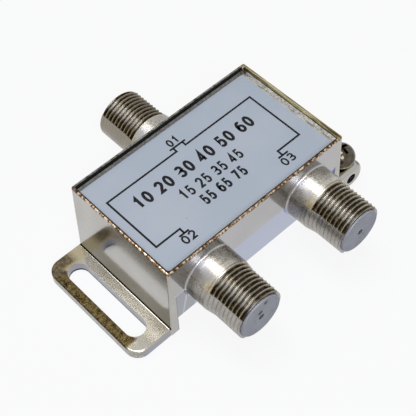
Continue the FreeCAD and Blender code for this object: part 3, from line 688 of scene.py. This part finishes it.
black = ink()
diagram_line_mm = 0.36
ink_lines("label_diagram", [
    [(-11.77, -6.95), (-11.77, -5.90), (-16.65, -5.90), (-16.70, 5.88), (-1.71, 5.88), (-1.71, 6.76)],
    [(0.32, 6.76), (0.32, 5.93), (15.23, 5.98), (15.23, -5.70), (10.17, -5.70), (10.17, -6.85)],
    [(-12.84, -6.98), (-10.84, -6.98)],
    [(9.17, -6.85), (11.37, -6.85)],
    [(-2.41, 6.79), (0.99, 6.79)],
], diagram_line_mm, black)
numerals("label_row_1", "10 20 30 40 50 60", (-0.9, 2.32), 2.6, 25.7, 0.52, black)
numerals("label_row_2", "15 25 35 45", (-0.8, -1.49), 2.2, 13.2, 0.38, black)
numerals("label_row_3", "55 65 75", (-0.85, -4.49), 2.2, 9.4, 0.42, black)
numerals("label_mark_1", "01", (-0.75, 7.95), 1.7, 2.3, 0.32, black)
numerals("label_mark_2", "02", (-11.75, -8.05), 1.7, 2.7, 0.32, black)
numerals("label_mark_3", "03", (10.2, -8.05), 1.7, 2.7, 0.32, black)


# Floor, world and lights

# Direction, inner and outer radius in degrees, and colour of each soft glow in the room
GLOWS = [
    ((0.64, 0.44, 0.63), 8, 26, (0.36, 0.35, 0.33)),
    ((-0.73, 0.44, 0.52), 6, 22, (0.40, 0.30, 0.14)),
    ((-0.45, 0.44, 0.78), 8, 18, (1.6, 1.48, 1.08)),
]

# The room's colour from straight down to straight up
ROOM = [
    (0.00, (0.020, 0.015, 0.008)),
    (0.35, (0.035, 0.026, 0.014)),
    (0.55, (0.09, 0.072, 0.045)),
    (0.80, (0.13, 0.118, 0.10)),
    (1.00, (0.20, 0.20, 0.20)),
]


def sees_white(tree):
    """1 for camera, glossy and transmission rays, which see the white background."""
    path = tree.nodes.new("ShaderNodeLightPath")
    seen = path.outputs["Is Camera Ray"]
    for kind in ("Is Glossy Ray", "Is Transmission Ray"):
        n = tree.nodes.new("ShaderNodeMath")
        n.operation = "MAXIMUM"
        tree.links.new(seen, n.inputs[0])
        tree.links.new(path.outputs[kind], n.inputs[1])
        seen = n.outputs[0]
    return seen


def floor():
    """A pale floor, nearly white to the eye and to the metal, that keeps a faint shadow."""
    half_side = 1.2
    sunk = 0.00002
    white_share = 0.9
    corners = [(half_side * x, half_side * y, 0) for x, y in ((-1, -1), (1, -1), (1, 1), (-1, 1))]
    mesh = bpy.data.meshes.new("floor")
    mesh.from_pydata(corners, [], [(0, 1, 2, 3)])
    obj = bpy.data.objects.new("floor", mesh)
    obj.location.z = -sunk
    bpy.context.scene.collection.objects.link(obj)
    mat = bpy.data.materials.new("floor")
    mat.use_nodes = True
    t = mat.node_tree
    t.nodes.clear()
    out = t.nodes.new("ShaderNodeOutputMaterial")
    mix = t.nodes.new("ShaderNodeMixShader")
    share = t.nodes.new("ShaderNodeMath")
    share.operation = "MULTIPLY"
    share.inputs[1].default_value = white_share
    pale = t.nodes.new("ShaderNodeBsdfDiffuse")
    pale.inputs["Color"].default_value = (0.53, 0.55, 0.64, 1)
    white = t.nodes.new("ShaderNodeEmission")
    white.inputs["Color"].default_value = (1, 1, 1, 1)
    white.inputs["Strength"].default_value = 1.0
    t.links.new(sees_white(t), share.inputs[0])
    t.links.new(share.outputs[0], mix.inputs[0])
    t.links.new(pale.outputs[0], mix.inputs[1])
    t.links.new(white.outputs[0], mix.inputs[2])
    t.links.new(mix.outputs[0], out.inputs[0])
    mesh.materials.append(mat)


def glow_over(tree, coord, colour, towards, inner, outer, glow):
    """A soft round glow in one direction, laid over the room's colour."""
    dot = tree.nodes.new("ShaderNodeVectorMath")
    dot.operation = "DOT_PRODUCT"
    dot.inputs[1].default_value = Vector(towards).normalized()
    tree.links.new(coord.outputs["Generated"], dot.inputs[0])
    reach = tree.nodes.new("ShaderNodeMapRange")
    reach.interpolation_type = "SMOOTHSTEP"
    reach.inputs["From Min"].default_value = math.cos(math.radians(outer))
    reach.inputs["From Max"].default_value = math.cos(math.radians(inner))
    tree.links.new(dot.outputs["Value"], reach.inputs["Value"])
    mix = tree.nodes.new("ShaderNodeMix")
    mix.data_type = "RGBA"
    mix.inputs[7].default_value = (*glow, 1)
    tree.links.new(reach.outputs["Result"], mix.inputs["Factor"])
    tree.links.new(colour, mix.inputs[6])
    return mix.outputs[2]


def world():
    """A dim warm room that lights the dull surfaces; the camera and the reflections see plain white."""
    w = bpy.data.worlds.new("studio")
    bpy.context.scene.world = w
    w.use_nodes = True
    t = w.node_tree
    t.nodes.clear()
    out = t.nodes.new("ShaderNodeOutputWorld")
    room = t.nodes.new("ShaderNodeBackground")
    white = t.nodes.new("ShaderNodeBackground")
    white.inputs["Color"].default_value = (1, 1, 1, 1)
    switch = t.nodes.new("ShaderNodeMixShader")
    coord = t.nodes.new("ShaderNodeTexCoord")
    split = t.nodes.new("ShaderNodeSeparateXYZ")
    ramp = t.nodes.new("ShaderNodeValToRGB")
    while len(ramp.color_ramp.elements) < len(ROOM):
        ramp.color_ramp.elements.new(0.5)
    for e, (at, c) in zip(ramp.color_ramp.elements, ROOM):
        e.position = at
        e.color = (*c, 1)
    t.links.new(coord.outputs["Generated"], split.inputs[0])
    t.links.new(split.outputs["Z"], ramp.inputs[0])
    colour = ramp.outputs[0]
    for glow in GLOWS:
        colour = glow_over(t, coord, colour, *glow)
    t.links.new(colour, room.inputs["Color"])
    t.links.new(sees_white(t), switch.inputs[0])
    t.links.new(room.outputs[0], switch.inputs[1])
    t.links.new(white.outputs[0], switch.inputs[2])
    t.links.new(switch.outputs[0], out.inputs[0])


def place(obj, x, y, z, at):
    """Sets an object's axes and its place."""
    rows = [(x[i], y[i], z[i], at[i]) for i in range(3)]
    obj.matrix_world = Matrix(rows + [(0, 0, 0, 1)])


def soft_light(name, towards, distance, size, power, colour):
    """A soft box that stands in a direction from the part and faces it, one side level along X."""
    data = bpy.data.lights.new(name, "AREA")
    data.shape = "RECTANGLE"
    data.size, data.size_y = size
    data.energy = power
    data.color = colour
    obj = bpy.data.objects.new(name, data)
    bpy.context.scene.collection.objects.link(obj)
    d = Vector(towards).normalized()
    x = Vector((1, 0, 0))
    x = (x - d * x.dot(d)).normalized()
    place(obj, x, d.cross(x), d, d * distance)


def camera():
    """The photograph's camera, as its place round a point near the box's middle and its roll."""
    azimuth = math.radians(-41.150)
    elevation = math.radians(54.192)
    roll = math.radians(-2.624)
    distance = 0.183883
    target = Vector((0.001928, 0.002867, 0))
    focal_px = 1036.46
    image_px = 416
    flat = math.cos(elevation)
    back = Vector((math.sin(azimuth) * flat, -math.cos(azimuth) * flat, math.sin(elevation)))
    right = Vector((math.cos(azimuth), math.sin(azimuth), 0))
    up = back.cross(right)
    data = bpy.data.cameras.new("camera")
    data.sensor_width = 36
    data.lens = focal_px / image_px * data.sensor_width
    data.clip_start = 0.01
    data.clip_end = 10
    obj = bpy.data.objects.new("camera", data)
    bpy.context.scene.collection.objects.link(obj)
    rolled_right = right * math.cos(roll) + up * math.sin(roll)
    rolled_up = up * math.cos(roll) - right * math.sin(roll)
    place(obj, rolled_right, rolled_up, back, target + back * distance)
    bpy.context.scene.camera = obj


floor()
world()
soft_light("key", towards=(-0.05, 0.13, 0.985), distance=0.45, size=(0.15, 0.33),
           power=1.3, colour=(1.0, 0.99, 0.97))
soft_light("front", towards=(-0.33, -0.60, 0.73), distance=0.5, size=(0.18, 0.18),
           power=0.95, colour=(0.90, 0.93, 1.0))
camera()

bpy.context.scene.view_settings.view_transform = "Standard"
